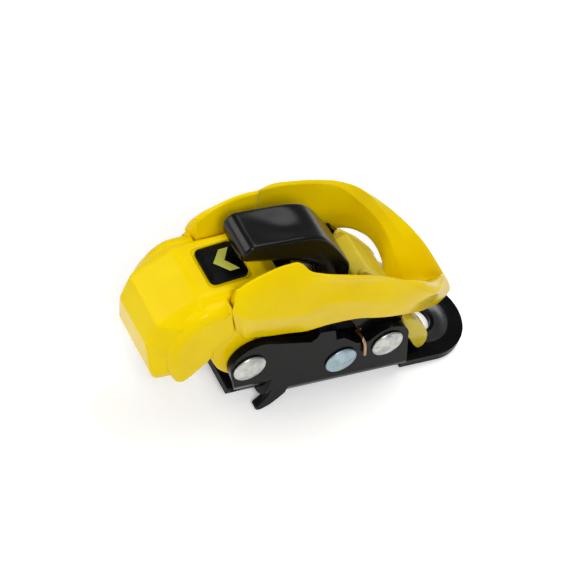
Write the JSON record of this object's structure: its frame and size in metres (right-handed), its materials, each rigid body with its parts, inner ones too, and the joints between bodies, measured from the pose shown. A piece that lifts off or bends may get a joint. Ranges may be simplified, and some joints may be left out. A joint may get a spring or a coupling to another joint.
{
  "type": "ascender",
  "caption": "Hand ascender with a folded steel rope channel, toothed cam on a forked lever, swinging nose cover, looped finger handle and thumb lever.",
  "frame": {"origin": "middle of the connector eye's bore wall, 2.6 mm under the top face of the base plate", "axes": "+X along the rope from the nose towards the eye end, +Z away from the base plate towards the handle, +Y to the side without the spring slot"},
  "size_m": [0.1415, 0.0426, 0.0766],
  "materials": {
    "black_steel": "gloss black powder coat",
    "zinc_steel": "zinc plated, domed and lightly scuffed",
    "bare_steel": "satin stainless",
    "yellow_nylon": "glossy injection moulded",
    "yellow_lever": "satin injection moulded",
    "black_nylon": "satin moulded",
    "badge_black": "domed gloss",
    "badge_olive": "printed under the dome",
    "spring_wire": "tempered straw and brown",
    "bronze": "sintered bronze"
  },
  "bodies": {
    "frame": {"channel": "black_steel", "front_pin": "zinc_steel", "rear_pin": "zinc_steel", "middle_rivets": "zinc_steel", "channel_cheeks": "bare_steel", "front_sleeve": "bare_steel"},
    "nose": {"nose_shell": "yellow_nylon", "nose_bushes": "bronze", "nose_guide": "bare_steel", "nose_guide_screws": "zinc_steel", "nose_badge": "badge_black", "nose_badge_inlay": "badge_olive", "nose_spring": "spring_wire"},
    "handle": {"handle_shell": "yellow_nylon", "handle_lugs": "black_steel", "handle_lug_screws": "zinc_steel", "thumb_pin": "zinc_steel", "handle_spring": "spring_wire"},
    "cam": {"cam": "bare_steel", "cam_lever": "yellow_lever", "cam_lever_screws": "zinc_steel", "cam_spring": "spring_wire"},
    "thumb": {"thumb_lever": "black_nylon", "thumb_latch": "bare_steel", "thumb_latch_rivet": "zinc_steel", "thumb_spring": "spring_wire"}
  },
  "joints": [
    {"name": "nose_hinge", "type": "hinge", "parent": "frame", "child": "nose", "pos_m": [-0.085, 0, 0.0221], "axis": [0, 1, 0], "range_deg": [-70, 0], "stiffness_Nm_per_rad": 0.05, "springref_deg": 28.65, "deforming": ["nose_spring"]},
    {"name": "handle_hinge", "type": "hinge", "parent": "frame", "child": "handle", "pos_m": [-0.029, 0, 0.0191], "axis": [0, 1, 0], "range_deg": [0, 6], "stiffness_Nm_per_rad": 0.3, "springref_deg": -17.19, "deforming": ["handle_spring"]},
    {"name": "thumb_hinge", "type": "hinge", "parent": "handle", "child": "thumb", "pos_m": [-0.055, 0, 0.0461], "axis": [0, 1, 0], "range_deg": [-5, 0], "stiffness_Nm_per_rad": 0.05, "springref_deg": 28.65, "deforming": ["thumb_spring"]},
    {"name": "cam_hinge", "type": "hinge", "parent": "frame", "child": "cam", "pos_m": [-0.029, 0, 0.0191], "axis": [0, 1, 0], "range_deg": [-12, 0], "stiffness_Nm_per_rad": 0.05, "springref_deg": 28.65, "deforming": ["cam_spring"]}
  ]
}
